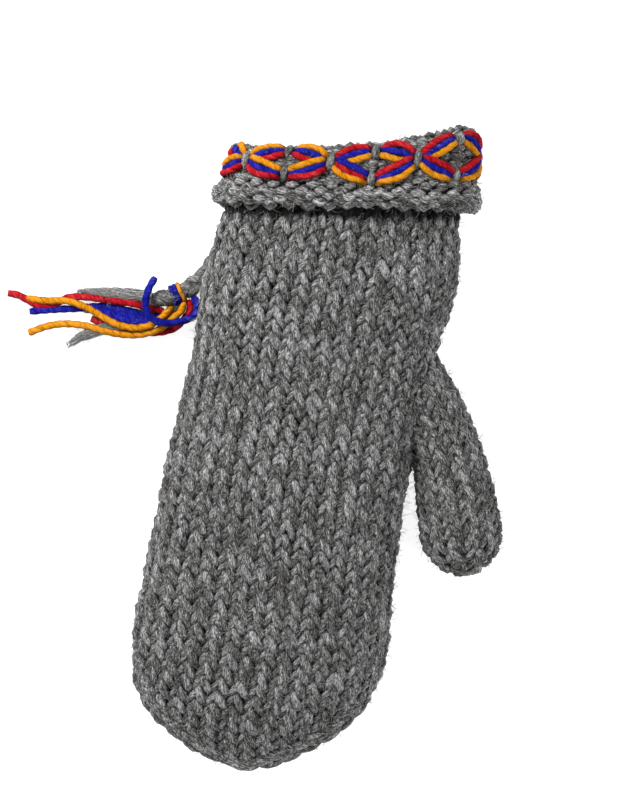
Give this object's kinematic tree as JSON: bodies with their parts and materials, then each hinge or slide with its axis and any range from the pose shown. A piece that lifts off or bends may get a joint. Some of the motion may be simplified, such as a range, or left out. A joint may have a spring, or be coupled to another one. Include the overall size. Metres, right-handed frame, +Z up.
{
  "type": "knitted mitten",
  "caption": "Thick hand-knitted grey wool mitten lying on its palm, with a turned-up embroidered cuff, a thumb, and a plaited cord that ends in a loose tassel.",
  "frame": {"origin": "middle of the floor area covered by hand, thumb and cuff, on the floor", "axes": "+Z up from the palm to the back of the hand, +Y from the fingertip to the mouth, +X towards the thumb"},
  "size_m": [0.2331, 0.2954, 0.0519],
  "materials": {
    "grey_wool_knit": "heathered wool stocking stitch",
    "grey_wool_purl": "heathered wool, purl side out, embroidered",
    "grey_wool_plait": "plaited heathered wool",
    "coloured_wool_yarn": "loose twisted wool yarn in red, blue and yellow with grey locks"
  },
  "bodies": {
    "root": {"hand": "grey_wool_knit", "thumb": "grey_wool_knit", "turned_cuff": "grey_wool_purl", "plaited_cord": "grey_wool_plait", "tassel": "coloured_wool_yarn"}
  },
  "joints": []
}
